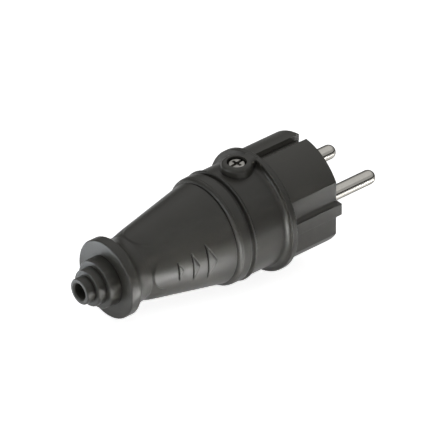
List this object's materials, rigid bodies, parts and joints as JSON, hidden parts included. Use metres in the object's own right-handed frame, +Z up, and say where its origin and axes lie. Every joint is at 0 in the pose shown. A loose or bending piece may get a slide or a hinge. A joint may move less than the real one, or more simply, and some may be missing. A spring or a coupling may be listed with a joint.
{
  "type": "rubber power plug",
  "caption": "Rewireable round-pin mains plug: rubber sleeve with stepped cable nozzle, collar, conical grip, ribs and screw boss over a moulded contact head.",
  "frame": {"origin": "middle of the engagement face, between the two contact pins", "axes": "the plug lies as it comes to rest, its axis in the XZ plane, 7.4675 degrees nose-up from +X; +X towards the pins, +Y to the neutral pin, +Z up on the side of the screw boss"},
  "size_m": [0.111, 0.041, 0.0419],
  "materials": {
    "sleeve_rubber": "satin moulded rubber",
    "carrier_plastic": "satin moulded",
    "inner_plastic": "plain moulded",
    "pin_nickel": "bright nickel plate",
    "earth_strip": "nickel-plated strip",
    "terminal_brass": "turned brass",
    "zinced_steel": "zinc plated",
    "bright_screw": "bright zinc plate"
  },
  "bodies": {
    "root": {"rubber_sleeve": "sleeve_rubber", "contact_carrier": "carrier_plastic", "line_pin": "pin_nickel", "neutral_pin": "pin_nickel", "line_terminal_screw": "zinced_steel", "neutral_terminal_screw": "zinced_steel", "earth_bracket": "earth_strip", "earth_socket": "terminal_brass", "earth_terminal_screw": "zinced_steel", "earth_clamp_plate": "zinced_steel", "earth_terminal_nut": "terminal_brass", "rear_retainer": "inner_plastic", "retainer_screw_left": "zinced_steel", "retainer_screw_right": "zinced_steel", "cord_clamp_bridge": "inner_plastic", "cord_clamp_screw_left": "zinced_steel", "cord_clamp_screw_right": "zinced_steel", "cord_clamp_nut_left": "zinced_steel", "cord_clamp_nut_right": "zinced_steel", "housing_screw": "bright_screw", "housing_nut": "zinced_steel"}
  },
  "joints": []
}
